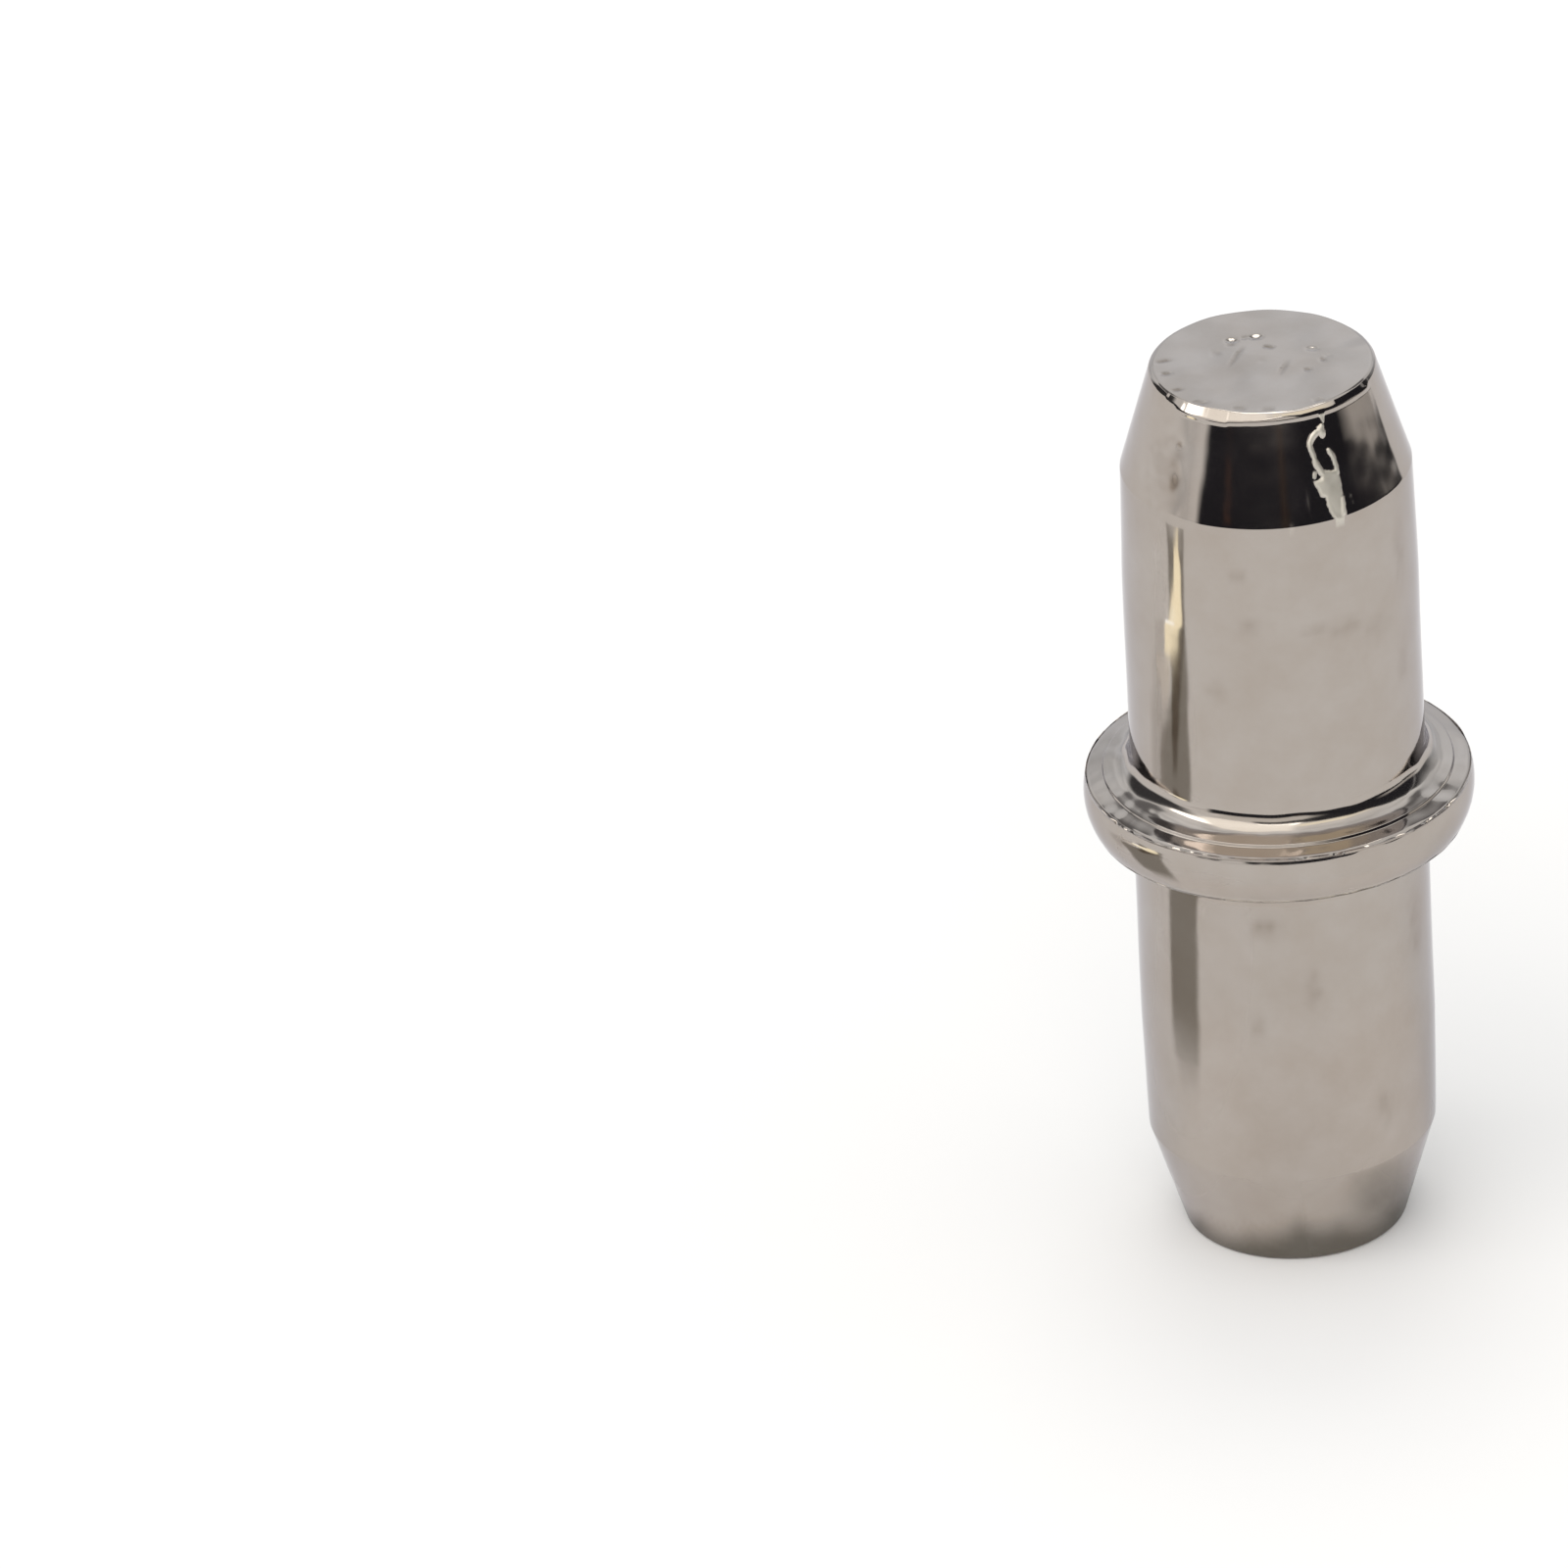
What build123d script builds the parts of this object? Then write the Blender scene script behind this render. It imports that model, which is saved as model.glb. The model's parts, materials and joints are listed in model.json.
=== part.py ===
"""Shelf support pin: one cold-headed steel pin with a collar round its middle.

One end goes into a drilled hole in a cabinet side and the other into a hole in the shelf or
panel, and the collar stops the pin half way. The two halves are alike, except that the
collar's band curves in further at its lower edge. The pin stands on one end face, with +Z
along its axis and the origin at the centre of the lower end face.
"""
import os
from math import radians, tan

from build123d import *

# Driving dimensions, in millimetres
LENGTH = 16.0
SHANK_D = 4.9            # seats in a 5 mm shelf hole
COLLAR_D = 6.5
COLLAR_EDGE = 0.88       # thickness of the collar at the radius of its band's upper edge
END_FACE_D = 3.7
CONE_LENGTH = 1.84       # lead-in cone at each end, measured along the axis

# Finer sizes of the section, in millimetres
BAND_BULGE = 0.05        # how far the band crowns beyond its upper edge
BAND_LOWER_BULGE = 0.17  # the same at its lower edge, where the band curves in further
BAND_WIDEST = 0.117      # height of the band's widest place over the collar's middle plane
BAND_EDGE_ROUND = 0.1    # the edge between the band and a flank
FLANK_SLOPE = 9.5        # degrees, both faces of the collar fall away towards the edge
LAND_D = 5.8             # ring next to the shank that the heading die leaves raised
LAND_STEP = 0.045        # height of that ring over the rest of the flank
LAND_STEP_WIDTH = 0.02
LAND_STEP_ROUND = 0.02
ROOT_FILLET = 0.38       # where the shank runs into the collar
DRAFT_LENGTH = 2.0       # stretch over which the shank shrinks towards the cone
DRAFT = 0.045            # how much smaller the radius is where the cone starts
DRAFT_BLEND = 6.0        # radius that eases the straight shank into the draft
SHOULDER_ROUND = 0.08    # where the shank meets the cone
FACE_EDGE_ROUND = 0.10   # edge of the end face

# Places that follow from the sizes above. Heights are from the collar's middle plane.
HALF_LENGTH = LENGTH / 2
SHANK_R = SHANK_D / 2
SHOULDER_R = SHANK_R - DRAFT
BAND_R = COLLAR_D / 2
UPPER_EDGE_R = BAND_R - BAND_BULGE
LOWER_EDGE_R = BAND_R - BAND_LOWER_BULGE
LAND_R = LAND_D / 2
SHOULDER_H = HALF_LENGTH - CONE_LENGTH
DRAFT_H = SHOULDER_H - DRAFT_LENGTH


def flank_height(radius):
    """Height of the collar's sloping flank at a radius, without the raised ring."""
    return COLLAR_EDGE / 2 + (UPPER_EDGE_R - radius) * tan(radians(FLANK_SLOPE))


def half_corners(edge_r):
    """One half's section from the band's edge to the axis: (radius, height) and its rounding."""
    step_r = LAND_R + LAND_STEP_WIDTH
    return [
        ((edge_r, flank_height(edge_r)), 0),
        ((step_r, flank_height(step_r)), LAND_STEP_ROUND),
        ((LAND_R, flank_height(LAND_R) + LAND_STEP), LAND_STEP_ROUND),
        ((SHANK_R, flank_height(SHANK_R) + LAND_STEP), ROOT_FILLET),
        ((SHANK_R, DRAFT_H), DRAFT_BLEND),
        ((SHOULDER_R, SHOULDER_H), SHOULDER_ROUND),
        ((END_FACE_D / 2, HALF_LENGTH), FACE_EDGE_ROUND),
        ((0, HALF_LENGTH), 0),
    ]


def half_line(edge_r):
    """One half's section as a line with its corners rounded."""
    corners = half_corners(edge_r)
    points = [point for point, _ in corners]
    roundings = [rounding for _, rounding in corners[1:-1]]
    return FilletPolyline(*points, radius=roundings, mode=Mode.PRIVATE)


def make_pin():
    """The whole pin, revolved in one piece from its section."""
    middle = Plane(origin=(0, 0, HALF_LENGTH), x_dir=(1, 0, 0), z_dir=(0, -1, 0))
    upper_edge = (UPPER_EDGE_R, flank_height(UPPER_EDGE_R))
    lower_edge = (LOWER_EDGE_R, -flank_height(LOWER_EDGE_R))
    with BuildPart() as pin:
        with BuildSketch(middle):
            with BuildLine():
                add(half_line(UPPER_EDGE_R))
                add(half_line(LOWER_EDGE_R).mirror(Plane.XZ))
                ThreePointArc(lower_edge, (BAND_R, BAND_WIDEST), upper_edge)
                Line((0, -HALF_LENGTH), (0, HALF_LENGTH))
            section = make_face()
            band_edges = section.vertices().filter_by_position(Axis.X, LOWER_EDGE_R, UPPER_EDGE_R)
            fillet(band_edges, BAND_EDGE_ROUND)
        revolve(axis=Axis.Z)
    return pin.part


os.makedirs("parts", exist_ok=True)
export_step(make_pin(), "parts/shelf_pin.step")
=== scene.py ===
"""Shelf support pin, standing on one end: nickel plate with its dents, scar and rolled rim.

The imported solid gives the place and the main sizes. One mesh stands for it: the same section,
turned about the axis with many more faces, so that the marks that forging, cropping and
tumbling leave on a real pin can be pressed into it. Sizes are in metres where they are a
number of MM, and the marks and the studio's outlines are in millimetres.
"""
import json
from math import acos, asin, cos, pi, radians, sin, tan

import bpy
import numpy as np
from mathutils import Matrix, Vector


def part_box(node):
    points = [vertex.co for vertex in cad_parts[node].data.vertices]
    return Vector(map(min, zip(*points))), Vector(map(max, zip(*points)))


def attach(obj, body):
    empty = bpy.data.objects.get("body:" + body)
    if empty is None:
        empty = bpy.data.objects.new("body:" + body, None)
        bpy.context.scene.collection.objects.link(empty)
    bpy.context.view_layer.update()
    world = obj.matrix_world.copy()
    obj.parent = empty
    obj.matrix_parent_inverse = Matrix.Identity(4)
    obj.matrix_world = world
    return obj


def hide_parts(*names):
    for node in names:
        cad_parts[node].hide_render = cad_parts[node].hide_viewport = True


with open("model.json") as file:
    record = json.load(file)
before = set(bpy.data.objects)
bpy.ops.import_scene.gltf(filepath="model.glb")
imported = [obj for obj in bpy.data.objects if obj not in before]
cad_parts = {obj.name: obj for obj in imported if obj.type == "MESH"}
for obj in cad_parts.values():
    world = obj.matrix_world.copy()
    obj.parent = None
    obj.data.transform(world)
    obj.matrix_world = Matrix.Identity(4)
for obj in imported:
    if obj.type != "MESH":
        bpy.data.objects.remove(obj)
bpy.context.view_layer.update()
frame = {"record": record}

MM = 0.001
TINY = 1e-9

# Main sizes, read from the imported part
low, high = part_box("shelf_pin")
LENGTH = high.z - low.z
HALF_LENGTH = LENGTH / 2
BAND_R = (high.x - low.x) / 2
MOUNTS = {mount["name"]: mount for mount in frame["record"]["mounts"]}
SHANK_R = MOUNTS["upper_pin"]["dims"]["r_mm"] * MM

# Finer sizes of the section, the same as in the part's source
COLLAR_EDGE = 0.88 * MM
BAND_BULGE = 0.05 * MM
BAND_LOWER_BULGE = 0.17 * MM
BAND_WIDEST = 0.117 * MM
BAND_EDGE_ROUND = 0.10 * MM
FLANK_SLOPE = radians(9.5)
LAND_R = 2.90 * MM
LAND_STEP = 0.045 * MM
LAND_STEP_WIDTH = 0.02 * MM
LAND_STEP_ROUND = 0.02 * MM
ROOT_FILLET = 0.38 * MM
DRAFT_LENGTH = 2.0 * MM
DRAFT = 0.045 * MM
DRAFT_BLEND = 6.0 * MM
SHOULDER_ROUND = 0.08 * MM
CONE_LENGTH = 1.84 * MM
END_FACE_R = 1.85 * MM
FACE_EDGE_ROUND = 0.10 * MM

UPPER_EDGE_R = BAND_R - BAND_BULGE
SHOULDER_R = SHANK_R - DRAFT
SHOULDER_H = HALF_LENGTH - CONE_LENGTH

# Largest distance between rings: closest where the light catches small marks
FOOT_SPACING = 0.2 * MM
SHANK_SPACING = 0.17 * MM
COLLAR_SPACING = 0.06 * MM
CONE_SPACING = 0.025 * MM
RIM_SPACING = 0.013 * MM
FACE_SPACING = 0.06 * MM
DENTED_SPACING = 0.035 * MM
ARC_STEP = radians(7)

# Where those stretches of the section end
FOOT_TOP = 1 * MM
COLLAR_REACH = 0.9 * MM
CONE_REACH = 0.15 * MM
RIM_DEPTH = 0.3 * MM
RIM_WIDTH = 0.1 * MM
FACE_DEPTH = 0.2 * MM
DENTED_START_R = 0.3 * MM
DENTED_END_R = 1.1 * MM

# Columns round the pin: start and end azimuth, and their number. Azimuth 0 is the camera's
# side, -Y, and grows towards +X. They are closest at the scar and widest apart at the back.
COLUMN_STRETCHES = [(-110, -75, 26), (-75, 15, 100), (15, 40, 64), (40, 75, 39), (75, 250, 64)]

# Camera, from the pin's outline in the photograph
PHOTO_SIZE = 1600
LENS = 450
SENSOR = 36
FOCAL_PIXELS = LENS / SENSOR * PHOTO_SIZE
BASE_PIXEL = (1322.76, 1228.3)     # where the centre of the lower end face shows
CAMERA_DEPTH = 328.9 * MM
CAMERA_ELEVATION = radians(29.0)
CAMERA_ROLL = radians(-3.155)

# Unevenness of the tumbled and plated surface: height and wavelength in millimetres, and
# the range of wavelengths that each wave mixes
WAVE_RANGE = (0.7, 1.6)
BROAD_WAVE = (0.0016, 1.6)
FINE_WAVE = (0.0004, 0.45)
ROOT_WAVE = (0.006, 0.9)
FLANK_WAVE = (0.0020, 0.40)
FACE_WAVE = (0.0035, 0.9)
SMEAR_WAVE = (0.006, 0.35)
SCAR_WAVE = (0.0008, 0.15)
SCAR_JAG = (0.005, 0.12)
STAIN_WANDER = (0.35, 0.25)

# Heights on the collar, from its middle plane, and what the surface is like there
ROOT_H, ROOT_SPREAD, ROOT_ROUGH = 0.70, 0.14, 0.12
LOWER_EDGE_H, LOWER_EDGE_SPREAD, LOWER_EDGE_ROUGH = -0.47, 0.07, 0.40
COLLAR_ONLY_R = 3
FLANK_FADE_IN = (0.38, 0.46)
FLANK_FADE_OUT = (0.62, 0.56)

# Depths under the pin's top between which the marks of the end face fade in
FACE_FADE = (0.02, 0.005)

# Dents of the end face, some with painted shade that stands in for dark reflections: x, y,
# half width, half height, turn in degrees, depth and strength of the painted shade
FACE_MARKS = [
    (-0.48, 0.76, 0.085, 0.055, -18, 0.028, 0),
    (-0.08, 0.86, 0.090, 0.060, 10, 0.030, 0),
    (-0.27, 0.84, 0.040, 0.045, 0, 0.018, 0),
    (0.84, 0.37, 0.090, 0.050, -12, 0.0185, 0),
    (1.07, 0.10, 0.040, 0.040, 0, 0.012, 0),
    (-0.50, 0.62, 0.060, 0.045, 0, 0.006, 0.7),
    (0.12, 0.49, 0.090, 0.040, -25, 0.016, 0.9),
    (-0.40, 0.28, 0.035, 0.18, -25, 0.010, 0.55),
    (-0.48, 0.02, 0.035, 0.16, -25, 0.006, 0.35),
    (0.34, -0.28, 0.040, 0.20, -18, 0.010, 0.35),
    (1.00, -0.02, 0.040, 0.060, 20, 0.014, 0.7),
    (0.74, -0.36, 0.050, 0.050, 0, 0.012, 0.5),
    (-0.74, 0.36, 0.08, 0.10, 0, 0.006, 0.3),
    (-1.62, 0.14, 0.120, 0.045, 14, 0.010, 1),
    (-1.58, -0.30, 0.060, 0.050, 0, 0.020, 0.9),
    (-1.40, -0.88, 0.080, 0.045, 0, 0.010, 0.9),
    (-0.60, -0.30, 0.35, 0.50, 0, 0, 0.25),
    (-1.05, -1.36, 0.120, 0.045, -25, 0.016, 0.6),
    (-0.40, -1.62, 0.100, 0.040, -8, 0.014, 0.6),
    (0.06, -1.68, 0.100, 0.040, 0, 0.012, 0.5),
    (0.90, -1.44, 0.08, 0.04, 25, 0.014, 0.4),
]

# Marks on the side: azimuth, height over the floor, half width, half height, and depth or
# strength
SIDE_DENTS = [
    (2.3, 12.74, 0.08, 0.016, 0.006),
    (-42.0, 14.85, 0.05, 0.12, 0.006),
    (-42.7, 15.32, 0.04, 0.05, 0.006),
]
STAINS = [
    (-14, 13.26, 0.12, 0.10, 0.3),
    (-9.5, 12.33, 0.18, 0.12, 0.35),
    (17, 12.2, 0.3, 0.08, 0.25),
    (30, 12.13, 0.25, 0.12, 0.25),
    (44, 11.9, 0.25, 0.2, 0.2),
    (-23, 11.1, 0.15, 0.15, 0.3),
    (61, 13.0, 0.15, 0.5, 0.3),
    (60, 10.9, 0.15, 0.3, 0.25),
    (-7.4, 6.69, 0.22, 0.18, 0.6),
    (-12, 4.78, 0.12, 0.18, 0.35),
    (10, 5.49, 0.12, 0.3, 0.35),
    (39, 2.9, 0.2, 0.3, 0.3),
    (62, 5.9, 0.2, 0.5, 0.35),
    (-43, 14.72, 0.09, 0.30, 0.9),
    (-42.7, 15.32, 0.05, 0.05, 0.8),
    (-50, 14.85, 0.35, 0.55, 0.35),
    (28.5, 14.74, 0.06, 0.015, 0.5),
    (29.5, 14.50, 0.04, 0.05, 0.4),
]
SCUFFS = [
    (16.7, 14.52, 0.03, 0.15, 0.25),
    (35.8, 14.44, 0.03, 0.04, 0.40),
    (36.2, 14.33, 0.03, 0.03, 0.35),
    (37.0, 14.75, 0.14, 0.28, 0.10),
    (9.0, 14.16, 0.03, 0.06, 0.35),
]

# The scar on the upper cone, as (azimuth, height over the floor): ridges with their half
# width and height, the hollow between them, the metal smeared below it and the spike above
SCAR_RIDGES = [
    ([(28.3, 15.66), (27.6, 15.60), (24.9, 15.59), (22.0, 15.51), (20.7, 15.42), (21.2, 15.33),
      (21.9, 15.24), (22.3, 15.12), (24.2, 14.98), (25.9, 14.88)], 0.048, 0.030),
    ([(27.2, 15.62), (28.0, 15.55)], 0.070, 0.040),
    ([(22.2, 15.12), (24.6, 14.94)], 0.060, 0.028),
    ([(29.6, 15.26), (31.1, 15.15), (31.6, 15.04), (31.8, 14.88)], 0.042, 0.028),
    ([(21.5, 14.96), (20.9, 14.90)], 0.035, 0.010),
    ([(31.5, 14.45), (31.0, 14.22)], 0.050, 0.055),
]
SCAR_PIT = [
    (28.3, 15.52), (25.2, 15.50), (22.9, 15.42), (24.4, 15.10),
    (26.6, 14.97), (29.9, 14.93), (30.6, 15.05), (28.9, 15.30),
]
SCAR_SMEAR = [
    (25.1, 14.98), (29.0, 14.93), (32.0, 14.94), (32.4, 14.80), (32.2, 14.44), (31.8, 14.20),
    (30.6, 14.12), (27.2, 14.14), (25.4, 14.27), (24.3, 14.40), (24.4, 14.53), (22.2, 14.58),
    (21.6, 14.70), (20.0, 14.82), (23.6, 14.84),
]
SCAR_SPIKE = [(27.6, 15.86), (31.2, 15.86), (29.9, 15.71), (29.3, 15.71)]
SCAR_AZIMUTHS = (12, 44)
SCAR_LOWEST = 13.9
SCAR_R = 2.15              # the cone's radius there, which turns degrees into millimetres
PIT_DEPTH, PIT_WALL = 0.05, (-0.01, 0.09)
SMEAR_RISE, SMEAR_WALL = 0.022, (-0.015, 0.04)
SPIKE_RISE, SPIKE_WALL = 0.012, (-0.012, 0.02)
BARE_EDGE = (-0.012, 0.01)
RIDGE_JAG = 0.4
RIDGE_BARE = (0, 0.4)
FACE_NORMAL = 0.6          # a normal that points up more than this is on the end face

# The upper rim: facets of a chamfer, deeper along some stretches of azimuth, and the lip
# under it. Widths of the facets and fades at a stretch's ends are in degrees.
FIRST_FACET, LAST_FACET = -185, 180
FACET_TURN = (5, 14)
FACET_COUNT = 60           # more than go round the rim; the rest are left out
FACET_TILT, FACET_TILT_SPREAD = 41, 2.5
CUT_DEPTH, CUT_SPREAD = 0.016, 0.010
CUT_REACH = 0.6
DEEP_CUTS = [(-43, -20, 0.022), (-20, 8, 0.004)]
DEEP_FADE = (8, 12)
LIP_STRETCH = (-46, 62)
LIP_FADE = (6, 8)
LIP_RISE = 0.020
LIP_WIDTH = 0.060
LIP_STEEPNESS = 7          # how fast its upper side rises, in shares of its height per mm
LIP_OFFSET = 0.045         # from the chamfer's lower end to the lip's edge
CHAMFER_DROP, CHAMFER_GAP = 2.2, 0.025
LEAST_CHAMFER = 0.075
LIP_NORMAL = 0.9           # the lip is only where normals point up less than this
LIP_WAVE = (0.15, 0.5)


def unit(vector):
    return vector / np.linalg.norm(vector)


# The section

def flank_height(radius):
    """Height of the collar's sloping flank over its middle plane, without the raised ring."""
    return COLLAR_EDGE / 2 + (UPPER_EDGE_R - radius) * tan(FLANK_SLOPE)


def half_corners(bulge, widest):
    """A half's section from the band's widest place to the axis: corner and its rounding."""
    step_r = LAND_R + LAND_STEP_WIDTH
    edge_h = flank_height(BAND_R - bulge)
    rise = edge_h - widest
    crown = (rise ** 2 + bulge ** 2) / (2 * bulge)
    return [
        ((BAND_R, widest), 0),
        ((BAND_R, widest + crown * tan(asin(rise / crown) / 2)), crown),
        ((BAND_R - bulge, edge_h), BAND_EDGE_ROUND),
        ((step_r, flank_height(step_r)), LAND_STEP_ROUND),
        ((LAND_R, flank_height(LAND_R) + LAND_STEP), LAND_STEP_ROUND),
        ((SHANK_R, flank_height(SHANK_R) + LAND_STEP), ROOT_FILLET),
        ((SHANK_R, SHOULDER_H - DRAFT_LENGTH), DRAFT_BLEND),
        ((SHOULDER_R, SHOULDER_H), SHOULDER_ROUND),
        ((END_FACE_R, HALF_LENGTH), FACE_EDGE_ROUND),
        ((0, HALF_LENGTH), 0),
    ]


def rounded(corners):
    """The line through the corners, with each corner replaced by an arc of its rounding."""
    points = [np.array(corner) for corner, _ in corners]
    line = [points[0]]
    for before, corner, after, (_, rounding) in zip(points, points[1:], points[2:], corners[1:]):
        back, ahead = unit(before - corner), unit(after - corner)
        half = acos(np.clip(back @ ahead, -1, 1)) / 2
        centre = corner + unit(back + ahead) * rounding / sin(half)
        start = corner + back * rounding / tan(half) - centre
        end = corner + ahead * rounding / tan(half) - centre
        turn = pi - 2 * half
        steps = max(2, round(turn / ARC_STEP))
        for step in range(steps + 1):
            share = step / steps
            arc = start * sin((1 - share) * turn) + end * sin(share * turn)
            line.append(centre + arc / sin(turn))
    line.append(points[-1])
    return np.array(line)


def ring_spacing(point):
    """Largest distance between rings at a place of the section, by height over the floor."""
    r, z = point
    if z < FOOT_TOP:
        return FOOT_SPACING
    if abs(z - HALF_LENGTH) < COLLAR_REACH:
        return COLLAR_SPACING
    if z > LENGTH - RIM_DEPTH and r > END_FACE_R - RIM_WIDTH:
        return RIM_SPACING
    if z > LENGTH - FACE_DEPTH:
        return DENTED_SPACING if DENTED_START_R < r < DENTED_END_R else FACE_SPACING
    if z > LENGTH - CONE_LENGTH - CONE_REACH:
        return CONE_SPACING
    return SHANK_SPACING


def section():
    """Radius and height over the floor of every ring, from the lower face's middle upwards."""
    upper = rounded(half_corners(BAND_BULGE, BAND_WIDEST))
    lower = rounded(half_corners(BAND_LOWER_BULGE, -BAND_WIDEST))[:0:-1] * (1, -1)
    corners = np.vstack([lower, upper]) + (0, HALF_LENGTH)
    line = [corners[0]]
    for start, end in zip(corners, corners[1:]):
        length = np.linalg.norm(end - start)
        reached = 0
        while reached < length - TINY:
            left = length - reached
            step = ring_spacing(start + (end - start) * reached / length)
            pieces = max(1, round(left / step))
            reached += left / pieces
            line.append(start + (end - start) * reached / length)
    return np.array(line)


def column_azimuths():
    """Azimuths of the columns, in radians."""
    edges = [np.linspace(start, end, count, endpoint=False) for start, end, count in COLUMN_STRETCHES]
    return np.radians(np.concatenate(edges))


def make_mesh(name):
    """Turns the section into a closed mesh. Each end face's middle is one vertex."""
    rings, azimuths = section(), column_azimuths()
    tangents = np.gradient(rings, axis=0)
    normals = np.stack([tangents[:, 1], -tangents[:, 0]], -1)
    normals /= np.linalg.norm(normals, axis=1)[:, None]
    surface = Surface(rings[1:-1], normals[1:-1], azimuths)
    surface.press_all()
    middles = [(0, 0, rings[0][1]), (0, 0, rings[-1][1])]
    points = np.vstack([surface.points().reshape(-1, 3), middles])
    count = len(azimuths)
    here = np.arange(count)
    there = (here + 1) % count
    starts = np.arange(len(rings) - 3)[:, None] * count
    around = [starts + here, starts + there, starts + count + there, starts + count + here]
    faces = np.stack(around, -1).reshape(-1, 4).tolist()
    bottom, top = len(points) - 2, len(points) - 1
    last = (len(rings) - 3) * count
    faces += [(bottom, b, a) for a, b in zip(here, there)]
    faces += [(top, last + a, last + b) for a, b in zip(here, there)]
    mesh = bpy.data.meshes.new(name)
    mesh.from_pydata(points.tolist(), [], faces)
    mesh.shade_smooth()
    for label, values in (("rough", surface.rough), ("stain_and_painted_shade", surface.stain_and_painted_shade)):
        attribute = mesh.attributes.new(label, "FLOAT", "POINT")
        attribute.data.foreach_set("value", np.append(values.ravel(), [0, 0]).astype(np.float32))
    return mesh


# Fields and distances that the marks are made from

def ripple(points, wave, seed, waves=40):
    """A smooth random field over the points, from a wave's height and wavelength."""
    height, wavelength = wave
    random = np.random.default_rng(seed)
    total = np.zeros(points.shape[:-1])
    for _ in range(waves):
        direction = unit(random.normal(size=3))
        length = wavelength * random.uniform(*WAVE_RANGE)
        total += np.cos(points @ (direction * 2 * pi / length) + random.uniform(0, 2 * pi))
    return height * total * (2 / waves) ** 0.5


def smooth(value, low, high):
    """0 at low, 1 at high, and a soft step between them."""
    share = np.clip((value - low) / (high - low), 0, 1)
    return share * share * (3 - 2 * share)


def spot(across, up, half_across, half_up):
    """1 in the middle of an oval spot, fading outwards."""
    return np.exp(-(across / half_across) ** 2 - (up / half_up) ** 2)


def distance_to_line(across, up, line):
    """Distance from each point to a line through several corners."""
    nearest = np.full(across.shape, np.inf)
    for (x0, y0), (x1, y1) in zip(line, line[1:]):
        run = (x1 - x0) ** 2 + (y1 - y0) ** 2
        share = np.clip(((across - x0) * (x1 - x0) + (up - y0) * (y1 - y0)) / run, 0, 1)
        gap = np.hypot(across - x0 - share * (x1 - x0), up - y0 - share * (y1 - y0))
        nearest = np.minimum(nearest, gap)
    return nearest


def depth_inside(across, up, outline):
    """Distance from each point to a closed outline, positive inside it."""
    corners = np.vstack([outline, outline[:1]])
    inside = np.zeros(across.shape, bool)
    for (x0, y0), (x1, y1) in zip(corners, corners[1:]):
        crosses = (y0 > up) != (y1 > up)
        inside ^= crosses & (across < x0 + (up - y0) * (x1 - x0) / (y1 - y0 + (y1 == y0)))
    nearest = distance_to_line(across, up, corners)
    return np.where(inside, nearest, -nearest)


def eased(corners):
    """The line with its corners cut twice over, which leaves a smooth curve."""
    line = np.array(corners, float)
    for _ in range(2):
        near, far = 0.75 * line[:-1] + 0.25 * line[1:], 0.25 * line[:-1] + 0.75 * line[1:]
        line = np.vstack([line[:1], np.stack([near, far], 1).reshape(-1, 2), line[-1:]])
    return line


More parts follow.
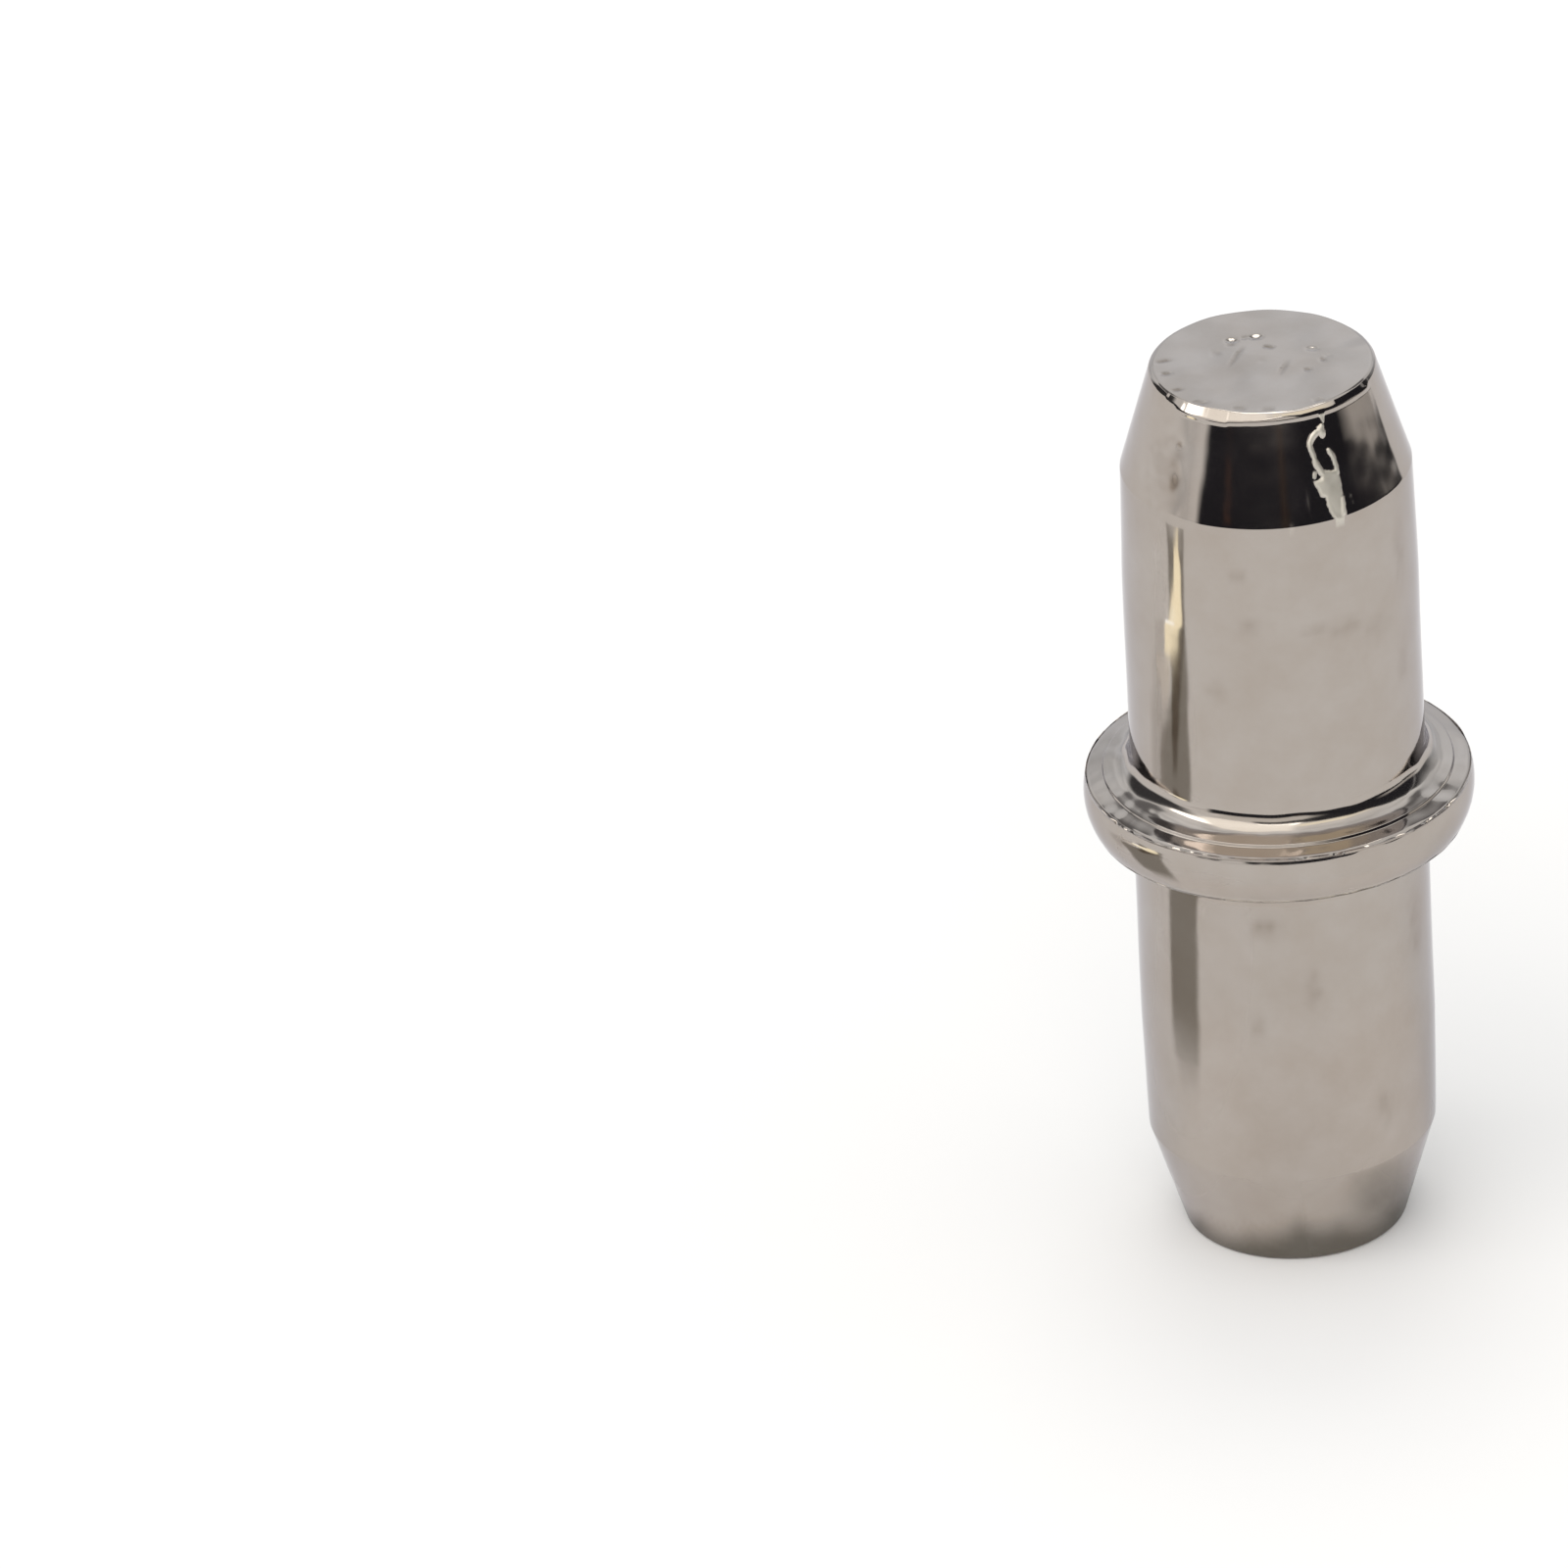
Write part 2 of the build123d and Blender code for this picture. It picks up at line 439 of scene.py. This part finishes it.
class Surface:
    """The turned surface in millimetres, as a grid of rings and columns, and its marks."""

    def __init__(self, rings, normals, azimuths):
        self.r = rings[:, :1] / MM + 0 * azimuths
        self.z = rings[:, 1:] / MM + 0 * azimuths
        self.nr = normals[:, :1] + 0 * azimuths
        self.nz = normals[:, 1:] + 0 * azimuths
        self.azimuth = azimuths + 0 * self.r
        self.degrees = (np.degrees(self.azimuth) + 180) % 360 - 180
        self.top = LENGTH / MM
        self.rough = np.zeros(self.r.shape)
        # Real stains on the side, and painted shade in the end face's dents
        self.stain_and_painted_shade = np.zeros(self.r.shape)

    def places(self):
        x, y = self.r * np.sin(self.azimuth), -self.r * np.cos(self.azimuth)
        return np.stack([x, y, self.z], -1)

    def points(self):
        return self.places() * MM

    def raise_by(self, height):
        """Moves the surface outwards along its normals."""
        self.r = self.r + self.nr * height
        self.z = self.z + self.nz * height

    def local(self, azimuth, height):
        """Distances across and up from a place on the side."""
        turn = (self.degrees - azimuth + 180) % 360 - 180
        return np.radians(turn) * self.r, self.z - height

    def press_all(self):
        self.press_waves()
        self.press_face()
        self.press_side()
        self.press_scar()
        self.cut_rim()

    def press_waves(self):
        """Slight unevenness of the tumbled and plated surface, more of it on the collar."""
        places = self.places()
        height = ripple(places, BROAD_WAVE, seed=1) + ripple(places, FINE_WAVE, seed=2)
        from_middle = self.z - self.top / 2
        off_middle = abs(from_middle)
        root = np.exp(-((off_middle - ROOT_H) / ROOT_SPREAD) ** 2)
        lower_edge = np.exp(-((from_middle - LOWER_EDGE_H) / LOWER_EDGE_SPREAD) ** 2)
        lower_edge = lower_edge * (self.r > COLLAR_ONLY_R)
        self.rough = ROOT_ROUGH * root + LOWER_EDGE_ROUGH * lower_edge
        flank = smooth(off_middle, *FLANK_FADE_IN) * smooth(off_middle, *FLANK_FADE_OUT)
        flat = places * (1, 1, 0)
        height += root * ripple(flat, ROOT_WAVE, seed=3)
        height += flank * ripple(flat, FLANK_WAVE, seed=4)
        self.raise_by(height)

    def press_face(self):
        """Shallow forging dents in the upper end face, painted shade in some of them, and a slight
        dishing.
        """
        places = self.places() * (1, 1, 0)
        x, y = places[..., 0], places[..., 1]
        start, end = FACE_FADE
        on_face = smooth(self.z, self.top - start, self.top - end)
        height = ripple(places, FACE_WAVE, seed=5)
        for place_x, place_y, half_x, half_y, turn, depth, stain_and_painted_shade in FACE_MARKS:
            c, s = cos(radians(turn)), sin(radians(turn))
            u = ((x - place_x) * c + (y - place_y) * s) / half_x
            v = ((y - place_y) * c - (x - place_x) * s) / half_y
            mark = np.exp(-u ** 4 - v ** 2)
            height -= depth * mark
            # Painted shade: darkens the dents where the nickel would reflect something dark
            self.stain_and_painted_shade += stain_and_painted_shade * on_face * mark
        self.raise_by(height * on_face)

    def press_side(self):
        """Small dents, stains with a ragged edge, and scuffs on the shank and the cone."""
        for azimuth, height, half_across, half_up, depth in SIDE_DENTS:
            self.raise_by(-depth * spot(*self.local(azimuth, height), half_across, half_up))
        wander = ripple(self.places(), STAIN_WANDER, seed=6)
        for azimuth, height, half_across, half_up, strength in STAINS:
            across, up = self.local(azimuth, height)
            far = (across / half_across) ** 2 + (up / half_up) ** 2 + wander
            self.stain_and_painted_shade += strength * np.exp(-np.maximum(far, 0))
        for azimuth, height, half_across, half_up, strength in SCUFFS:
            self.rough += strength * spot(*self.local(azimuth, height), half_across, half_up)

    def press_scar(self):
        """The gouge on the upper cone: ridges round a hollow, and metal smeared below it."""
        start, end = SCAR_AZIMUTHS
        near = (self.degrees > start) & (self.degrees < end)
        near &= (self.z > SCAR_LOWEST) & (self.nz < FACE_NORMAL)
        around = SCAR_R * radians(1)
        across, up = self.degrees[near] * around, self.z[near]
        places = self.places()[near]
        jag = ripple(places, SCAR_JAG, seed=7)
        pit = depth_inside(across, up, np.array(SCAR_PIT) * (around, 1)) + jag
        smear = depth_inside(across, up, np.array(SCAR_SMEAR) * (around, 1)) + jag
        spike = depth_inside(across, up, np.array(SCAR_SPIKE) * (around, 1))
        height = -PIT_DEPTH * smooth(pit, *PIT_WALL)
        height += (SMEAR_RISE + ripple(places, SMEAR_WAVE, seed=11)) * smooth(smear, *SMEAR_WALL)
        height += SPIKE_RISE * smooth(spike, *SPIKE_WALL)
        bare = np.maximum(smooth(smear, *BARE_EDGE), smooth(spike, *BARE_EDGE))
        for line, half_width, rise in SCAR_RIDGES:
            away = distance_to_line(across, up, eased(line) * (around, 1)) + RIDGE_JAG * jag
            ridge = np.clip(1 - (away / half_width) ** 2, 0, 1)
            height = np.maximum(height, rise * ridge)
            bare = np.maximum(bare, smooth(ridge, *RIDGE_BARE))
        height += bare * ripple(places, SCAR_WAVE, seed=8)
        change = np.zeros(self.r.shape)
        change[near] = height
        self.raise_by(change)
        self.rough[near] = np.maximum(self.rough[near], bare)

    def cut_rim(self):
        """The upper rim's uneven chamfer, cut as facets, and the small lip that it leaves."""
        random = np.random.default_rng(9)
        knots = FIRST_FACET + np.cumsum(random.uniform(*FACET_TURN, FACET_COUNT))
        knots = knots[knots < LAST_FACET]
        depth = CUT_DEPTH + CUT_SPREAD * random.random(len(knots))
        fade_in, fade_out = DEEP_FADE
        for start, end, extra in DEEP_CUTS:
            depth += extra * smooth(knots, start - fade_in, start) * smooth(knots, end + fade_out, end)
        spread = random.uniform(-FACET_TILT_SPREAD, FACET_TILT_SPREAD, len(knots))
        facet = np.searchsorted(knots, self.degrees) % len(knots)
        tilt = np.radians(FACET_TILT + spread)[facet]
        blend = np.interp(self.degrees, knots, depth, period=360)
        cut = (depth[facet] + blend) / 2
        corner = END_FACE_R / MM * np.cos(tilt) + self.top * np.sin(tilt)
        below = self.top - self.z
        chamfer = np.maximum(LEAST_CHAMFER, CHAMFER_DROP * cut + CHAMFER_GAP)
        self.raise_lip(below - chamfer - LIP_OFFSET)
        over = self.r * np.cos(tilt) + self.z * np.sin(tilt) - corner + cut
        over = np.where(below < CUT_REACH, np.maximum(over, 0), 0)
        self.r = self.r - over * np.cos(tilt)
        self.z = self.z - over * np.sin(tilt)

    def raise_lip(self, under_edge):
        """Raises the lip, steep above its edge and sloping below it."""
        rising, falling = 1 + LIP_STEEPNESS * under_edge, 1 - under_edge / LIP_WIDTH
        lip = np.clip(np.where(under_edge < 0, rising, falling), 0, 1) * (self.nz < LIP_NORMAL)
        start, end = LIP_STRETCH
        fade_in, fade_out = LIP_FADE
        lip = lip * smooth(self.degrees, start - fade_in, start)
        lip = lip * smooth(self.degrees, end + fade_out, end)
        self.raise_by(LIP_RISE * lip * (1 + ripple(self.places(), LIP_WAVE, seed=10)))


# Materials. Colours are linear, and the ones of the studio's cards may pass 1.

NICKEL_DEEP = (0.396, 0.351, 0.312, 1)
NICKEL_PALE = (0.435, 0.397, 0.365, 1)
NICKEL_GRAZING = (0.80, 0.80, 0.84, 1)
# Darkens real stains on the side, and paints shade into the end face's dents
STAIN_AND_SHADE_TINT = (0.60, 0.55, 0.50, 1)
BARED_STEEL = (0.68, 0.65, 0.58, 1)
WORN_ROUGHNESS = 0.50
PAPER = (0.745, 0.745, 0.745, 1)
ROOM_FRONT = (0.73, 0.70, 0.67, 1)
ROOM_BACK = (0.645, 0.675, 0.705, 1)


def new_material(name):
    material = bpy.data.materials.new(name)
    material.use_nodes = True
    material.node_tree.nodes.clear()
    return material, material.node_tree.nodes, material.node_tree.links


def new_node(nodes, kind, **values):
    """A shader node with its inputs set. Underscores stand for the spaces in their names."""
    node = nodes.new("ShaderNode" + kind)
    for name, value in values.items():
        node.inputs[name.replace("_", " ")].default_value = value
    return node


def new_ramp(nodes, *stops):
    ramp = nodes.new("ShaderNodeValToRGB")
    for element, (position, colour) in zip(ramp.color_ramp.elements, stops):
        element.position = position
        element.color = colour
    return ramp


def new_mix(nodes, blend, colour):
    """Goes from its A input to the colour by its Factor."""
    mix = nodes.new("ShaderNodeMix")
    mix.data_type = "RGBA"
    mix.blend_type = blend
    mix.inputs["B"].default_value = colour
    return mix


def new_attribute(nodes, name):
    attribute = nodes.new("ShaderNodeAttribute")
    attribute.attribute_name = name
    return attribute


def nickel():
    """Bright nickel plate over tumbled steel: faintly warm, a little uneven in gloss."""
    material, nodes, links = new_material("nickel_plate")
    shader = new_node(nodes, "BsdfPrincipled", Metallic=1, Specular_Tint=NICKEL_GRAZING)
    place = new_node(nodes, "TexCoord")
    clouds = new_node(nodes, "TexNoise", Scale=900, Detail=5, Roughness=0.6)
    tint = new_ramp(nodes, (0.3, NICKEL_DEEP), (0.7, NICKEL_PALE))
    # Real stains on the side, and painted shade in the end face's dents, darken the nickel
    stain_and_painted_shade = new_attribute(nodes, "stain_and_painted_shade")
    stained_and_shaded = new_mix(nodes, "MULTIPLY", STAIN_AND_SHADE_TINT)
    gloss = new_node(nodes, "MapRange", From_Min=0.3, From_Max=0.7, To_Min=0.05, To_Max=0.10)
    worn = new_attribute(nodes, "rough")
    bared = new_mix(nodes, "MIX", BARED_STEEL)
    roughness = new_node(nodes, "Math")
    roughness.operation = "MULTIPLY_ADD"
    roughness.inputs[1].default_value = WORN_ROUGHNESS
    out = new_node(nodes, "OutputMaterial")
    links.new(place.outputs["Object"], clouds.inputs["Vector"])
    links.new(clouds.outputs["Fac"], tint.inputs["Fac"])
    links.new(clouds.outputs["Fac"], gloss.inputs["Value"])
    links.new(tint.outputs["Color"], stained_and_shaded.inputs["A"])
    links.new(stain_and_painted_shade.outputs["Fac"], stained_and_shaded.inputs["Factor"])
    links.new(stained_and_shaded.outputs["Result"], bared.inputs["A"])
    links.new(worn.outputs["Fac"], bared.inputs["Factor"])
    links.new(bared.outputs["Result"], shader.inputs["Base Color"])
    links.new(worn.outputs["Fac"], roughness.inputs[0])
    links.new(gloss.outputs["Result"], roughness.inputs[2])
    links.new(roughness.outputs["Value"], shader.inputs["Roughness"])
    links.new(shader.outputs["BSDF"], out.inputs["Surface"])
    return material


def feathered(name, colour, mottle=0):
    """A glow, mottled by a share, that its "fade" attribute turns clear where it is 1."""
    material, nodes, links = new_material(name)
    solid = new_node(nodes, "Emission", Color=(*colour, 1))
    spots = new_node(nodes, "TexNoise", Scale=1400)
    level = new_node(nodes, "MapRange", From_Min=0.35, From_Max=0.65, To_Min=1 - mottle, To_Max=1 + mottle)
    clear = new_node(nodes, "BsdfTransparent")
    fade = new_attribute(nodes, "fade")
    mix = new_node(nodes, "MixShader")
    out = new_node(nodes, "OutputMaterial")
    links.new(spots.outputs["Fac"], level.inputs["Value"])
    links.new(level.outputs["Result"], solid.inputs["Strength"])
    links.new(fade.outputs["Fac"], mix.inputs["Fac"])
    links.new(solid.outputs["Emission"], mix.inputs[1])
    links.new(clear.outputs["BSDF"], mix.inputs[2])
    links.new(mix.outputs["Shader"], out.inputs["Surface"])
    return material


def make_world():
    """Pale surroundings that brighten upwards and are a little cooler behind the pin."""
    world = bpy.data.worlds.new("studio")
    bpy.context.scene.world = world
    world.use_nodes = True
    nodes, links = world.node_tree.nodes, world.node_tree.links
    nodes.clear()
    direction = new_node(nodes, "TexCoord")
    parts = new_node(nodes, "SeparateXYZ")
    depth = new_node(nodes, "MapRange", From_Min=-1, From_Max=1)
    ramp = new_ramp(nodes, (0, ROOM_FRONT), (1, ROOM_BACK))
    level = new_node(nodes, "MapRange", To_Min=1.32, To_Max=1.55)
    patches = new_node(nodes, "TexNoise", Scale=5)
    uneven = new_node(nodes, "MapRange", From_Min=0.3, From_Max=0.7, To_Min=0.82, To_Max=1.18)
    strength = new_node(nodes, "Math")
    strength.operation = "MULTIPLY"
    shade = new_node(nodes, "Background")
    out = new_node(nodes, "OutputWorld")
    links.new(direction.outputs["Generated"], parts.inputs["Vector"])
    links.new(parts.outputs["Y"], depth.inputs["Value"])
    links.new(parts.outputs["Z"], level.inputs["Value"])
    links.new(depth.outputs["Result"], ramp.inputs["Fac"])
    links.new(ramp.outputs["Color"], shade.inputs["Color"])
    links.new(direction.outputs["Generated"], patches.inputs["Vector"])
    links.new(patches.outputs["Fac"], uneven.inputs["Value"])
    links.new(level.outputs["Result"], strength.inputs[0])
    links.new(uneven.outputs["Result"], strength.inputs[1])
    links.new(strength.outputs["Value"], shade.inputs["Strength"])
    links.new(shade.outputs["Background"], out.inputs["Surface"])


# Studio. Flags are dark and glowing sheets round the pin, painted reflections that only the
# nickel shows, as (azimuth, foot, top) in degrees and millimetres. Patches lie just over the
# floor, as (x, y) in millimetres from the pin's axis: painted shadow and light, seen the same way.

FLOOR_SIZE = (6.0, 6.0)    # in metres
FLAG_R = 85
CARD_R = 84
LOW_CARD_R = 82
NEAR_FLAG_R = 64

FRONT_FLAG = [(-56, 0.5, 30), (-30, 0.5, 30), (-12, 0.5, 88), (118, 0.5, 88)]
FRONT_GLOW = [(-47, 26, 60), (18, 26, 60), (34, 26, 40)]
LEFT_FLAG = [(-140, 10, 66), (-100, 12, 66), (-82, 20, 66), (-70, 30, 60)]
RIGHT_FLAG = [(116, 9, 70), (152, 12, 50)]
NEAR_FLAG = [(98, 0.1, 7.8), (103, 0.1, 7.3), (108, 0.1, 6), (114, 0.1, 4.5), (124, 0.1, 2)]
STREAK_LEFT = [(-35, 19.8, 20.9), (-27, 19.8, 20.9)]
STREAK_RIGHT = [(8, 12, 30), (17, 12, 30)]
BACK_LEFT_GLOOM = [(-172, 72, 105), (-105, 72, 105)]
BACK_RIGHT_GLOOM = [(132, 72, 105), (172, 72, 105)]
LOW_GLOW = [(70, 14.4, 24), (80, 11.8, 22), (94, 7.6, 18), (103, 4.3, 14), (112, 1, 12), (118, 0.3, 10)]
TOP_GLOW = [(-78, 60, 480), (-30, 60, 480), (-12, 92, 480), (18, 92, 480)]
RIM_GLOW = [(8, 108, 150), (60, 84, 132), (84, 84, 132)]

SHADE_OUTLINE = [
    (-6, -0.9), (-9.3, 0.9), (-14.1, 1.4), (-16.5, 3.0), (-18.5, 3.6), (-20, 2.2),
    (-21.7, -2.0), (-31.2, -2.5), (-29.0, -12.4), (-22.7, -9.3), (-20.4, -9.2),
    (-19.4, -8.0), (-12, -5.7), (-6, -3),
]
CORE_OUTLINE = [
    (-22.8, -4.2), (-21.8, -2.4), (-20.3, -1.6), (-18.4, -1.3), (-18.2, -2.9),
    (-20.8, -6.2), (-22.5, -8.6), (-24.0, -9.2), (-23.2, -7.2),
]
WARM_OUTLINE = [
    (-29.2, -8.8), (-29.0, -6.4), (-27.8, -5.4), (-26.9, -5.3), (-26.2, -3.6), (-24.8, -1.5),
    (-22.8, 0.4), (-22.5, -5.3), (-24.0, -8.4), (-27.2, -9.3),
]
WHITE_OUTLINE = [(-25.0, -0.9), (-24.8, -5.0), (-24.0, -4.8), (-24.0, -0.6)]
PALE_OUTLINE = [
    (-22.7, 3.6), (-22.9, -3.4), (-22.0, -1.7), (-21.3, -1.7),
    (-20.5, -0.8), (-20.2, 1.4), (-21.2, 2.3), (-21.2, 3.7),
]
FAINT_OUTLINE = [(-27, -1), (-24, 4), (-19, 8), (-15, 7), (-12, 2.5), (-18, -1)]
FOOT_OUTLINE = [
    (-2.3, 0.6), (-2.2, -1.0), (-1.2, -2.2), (0, -2.85),
    (1.2, -2.4), (2.3, -1.0), (2.4, 0.6), (0, 2),
]
FOOT_SIDE_OUTLINE = [(0.5, -2.6), (2.2, -3.2), (3.5, -2.2), (3.8, -0.6), (2.9, 1.4), (1.0, 2.4)]
NEAR_OUTLINE = [(-12, -2), (-9, -9), (0, -13), (9, -9), (13, 0), (9, 4), (-2.5, 2)]

FLAG_COLOUR = (0.03, 0.03, 0.035)
GLOOM_COLOUR = (0.22, 0.22, 0.23)
FOOT_COLOUR = (0.16, 0.16, 0.14)


def add_mesh(name, points, faces, material):
    mesh = bpy.data.meshes.new(name)
    mesh.from_pydata(points, [], faces)
    piece = bpy.data.objects.new(name, mesh)
    piece.data.materials.append(material)
    bpy.context.scene.collection.objects.link(piece)
    return piece


def make_floor():
    """A plain sheet of pale paper, which keeps the pin's shadow."""
    material, nodes, links = new_material("floor_paper")
    shader = new_node(nodes, "BsdfDiffuse", Color=PAPER)
    out = new_node(nodes, "OutputMaterial")
    links.new(shader.outputs["BSDF"], out.inputs["Surface"])
    x, y = FLOOR_SIZE[0] / 2, FLOOR_SIZE[1] / 2
    add_mesh("floor", [(-x, -y, 0), (x, -y, 0), (x, y, 0), (-x, y, 0)], [(0, 1, 2, 3)], material)


def make_lamp(name, shape, size, energy, colour, azimuth, elevation, distance):
    """An area lamp aimed at the pin from an azimuth and elevation in degrees."""
    data = bpy.data.lights.new(name, "AREA")
    data.shape = shape
    data.size, data.size_y = size
    data.energy = energy
    data.color = colour
    lamp = bpy.data.objects.new(name, data)
    azimuth, elevation = radians(azimuth), radians(elevation)
    aim = Vector((sin(azimuth) * cos(elevation), -cos(azimuth) * cos(elevation), sin(elevation)))
    lamp.location = aim * distance
    lamp.rotation_mode = "QUATERNION"
    lamp.rotation_quaternion = aim.to_track_quat("Z", "Y")
    lamp.visible_camera = False
    bpy.context.scene.collection.objects.link(lamp)


def add_reflected(name, points, faces, material, fades):
    """A piece that is seen in the nickel only: it lights nothing and shades nothing."""
    piece = add_mesh(name, points, faces, material)
    piece.data.attributes.new("fade", "FLOAT", "POINT").data.foreach_set("value", fades)
    piece.visible_camera = False
    piece.visible_diffuse = False
    piece.visible_shadow = False
    piece.visible_transmission = False
    piece.visible_volume_scatter = False


def make_flag(name, colour, line, feather, soft=0.5, radius=FLAG_R):
    """A flag that fades over feather degrees at its sides and over soft mm at its top."""
    line = np.array(line, float)
    start, end = line[0, 0], line[-1, 0]
    steps = np.arange(start, end + 1)
    feet, tops = (np.interp(steps, line[:, 0], line[:, column]) for column in (1, 2))
    left = 1 - np.clip((steps - start) / feather[0], 0, 1)
    right = 1 - np.clip((end - steps) / feather[1], 0, 1)
    points, fades = [], []
    for azimuth, foot, top, fade in zip(np.radians(steps), feet, tops, np.maximum(left, right)):
        x, y = radius * sin(azimuth), -radius * cos(azimuth)
        points += [(x * MM, y * MM, height * MM) for height in (foot, max(top - soft, foot), top)]
        fades += [fade, fade, 1]
    starts = [i + k for i in range(0, len(points) - 3, 3) for k in (0, 1)]
    faces = [(a, a + 1, a + 4, a + 3) for a in starts]
    add_reflected(name, points, faces, feathered(name, colour), fades)


def make_patch(name, colour, outline, feather, height, opacity=1, hole=(0, 1), spacing=0.3, mottle=0):
    """A floor patch that fades over feather mm at its outline and round a hole at the pin."""
    outline = np.array(outline)
    low, high = outline.min(0) - spacing, outline.max(0) + spacing
    xs = np.arange(low[0], high[0] + spacing, spacing)
    ys = np.arange(low[1], high[1] + spacing, spacing)
    x, y = np.meshgrid(xs, ys, indexing="ij")
    solid = opacity * smooth(depth_inside(x, y, outline), 0, feather) * smooth(np.hypot(x, y), *hole)
    points = np.stack([x, y, np.full(x.shape, height)], -1).reshape(-1, 3) * MM
    rows = len(ys)
    starts = (np.arange(len(xs) - 1)[:, None] * rows + np.arange(rows - 1)).ravel()
    faces = [(a, a + rows, a + rows + 1, a + 1) for a in starts]
    fades = (1 - solid).ravel().astype(np.float32)
    add_reflected(name, points.tolist(), faces, feathered(name, colour, mottle), fades)


def make_lamps():
    make_lamp("softbox", "RECTANGLE", size=(0.90, 0.14), energy=1.32, colour=(1, 0.97, 0.93),
              azimuth=-36, elevation=52, distance=0.52)
    make_lamp("back_lamp", "DISK", size=(0.24, 0.24), energy=0.38, colour=(1, 0.97, 0.90),
              azimuth=180, elevation=64, distance=0.5)


def make_flags():
    """Dark and glowing sheets that only the nickel shows, as black and as glows: painted reflections."""
    make_flag("front_flag", (0.024, 0.024, 0.030), FRONT_FLAG, (5, 3), soft=4)
    make_flag("front_glow", (0.95, 0.92, 0.88), FRONT_GLOW, (6, 12), soft=4, radius=CARD_R)
    make_flag("left_flag", (0.06, 0.06, 0.065), LEFT_FLAG, (10, 8), soft=4)
    make_flag("right_flag", FLAG_COLOUR, RIGHT_FLAG, (2, 30), soft=4)
    make_flag("near_flag", FLAG_COLOUR, NEAR_FLAG, (2, 2), soft=1, radius=NEAR_FLAG_R)
    make_flag("streak_left", (0.11, 0.062, 0.048), STREAK_LEFT, (3, 3), radius=CARD_R)
    make_flag("streak_right", (0.05, 0.036, 0.030), STREAK_RIGHT, (4, 4), radius=CARD_R)
    make_flag("back_left_gloom", GLOOM_COLOUR, BACK_LEFT_GLOOM, (10, 10), soft=8)
    make_flag("back_right_gloom", GLOOM_COLOUR, BACK_RIGHT_GLOOM, (10, 10), soft=8)
    make_flag("low_glow", (0.64, 0.62, 0.60), LOW_GLOW, (16, 2), radius=LOW_CARD_R)
    make_flag("top_glow", (1.75, 1.70, 1.60), TOP_GLOW, (14, 20), soft=150)
    make_flag("rim_glow", (1.6, 1.5, 1.25), RIM_GLOW, (4, 20))


def make_patches():
    """Patches that the nickel shows as streaks on its left side and as shade at its foot: dark ones are
    painted shadow, glowing ones painted light and glints.
    """
    make_patch("near_glow", (1.06, 1.02, 0.98), NEAR_OUTLINE, 3.0, 0.01, opacity=0.45)
    make_patch("foot_shade", FOOT_COLOUR, FOOT_OUTLINE, 0.6, 0.02, opacity=0.8, spacing=0.15)
    make_patch("foot_side_shade", FOOT_COLOUR, FOOT_SIDE_OUTLINE, 1.8, 0.03, opacity=0.6)
    make_patch("side_shade", (0.41, 0.39, 0.355), SHADE_OUTLINE, 1.0, 0.05, hole=(6.5, 10.5))
    make_patch("core_shade", (0.17, 0.14, 0.11), CORE_OUTLINE, 0.6, 0.08)
    make_patch("faint_shade", (0.5, 0.46, 0.42), FAINT_OUTLINE, 3.0, 0.11, opacity=0.4)
    make_patch("pale_patch", (1.05, 1.00, 0.93), PALE_OUTLINE, 0.5, 0.14)
    make_patch("warm_patch", (2.0, 1.85, 1.38), WARM_OUTLINE, 0.25, 0.17, spacing=0.15, mottle=0.35)
    make_patch("white_patch", (2.4, 2.5, 2.5), WHITE_OUTLINE, 0.15, 0.20, spacing=0.1)


def make_camera():
    """Looks down at the pin as the photograph does, which leaves it at the frame's right."""
    axis = np.array([
        sin(CAMERA_ROLL) * cos(CAMERA_ELEVATION),
        cos(CAMERA_ROLL) * cos(CAMERA_ELEVATION),
        sin(CAMERA_ELEVATION),
    ])
    right = unit(np.array([1, 0, 0]) - axis[0] * axis)
    forward = np.cross(axis, right)
    to_camera = np.column_stack([right, forward, axis])
    across = (BASE_PIXEL[0] - PHOTO_SIZE / 2) / FOCAL_PIXELS
    down = (BASE_PIXEL[1] - PHOTO_SIZE / 2) / FOCAL_PIXELS
    base = CAMERA_DEPTH * np.array([across, -down, -1])
    data = bpy.data.cameras.new("camera")
    data.lens = LENS
    data.sensor_width = SENSOR
    data.clip_start = 0.01
    data.clip_end = 20
    camera = bpy.data.objects.new("camera", data)
    turn = Matrix(to_camera.T.tolist())
    camera.matrix_world = Matrix.Translation(-(turn @ Vector(base))) @ turn.to_4x4()
    bpy.context.scene.collection.objects.link(camera)
    bpy.context.scene.camera = camera


pin = bpy.data.objects.new("nickel_pin", make_mesh("nickel_pin"))
bpy.context.scene.collection.objects.link(pin)
pin.data.materials.append(nickel())
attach(pin, "root")
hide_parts("shelf_pin")

make_floor()
make_world()
make_lamps()
make_flags()
make_patches()
make_camera()

bpy.context.scene.view_settings.view_transform = "Standard"
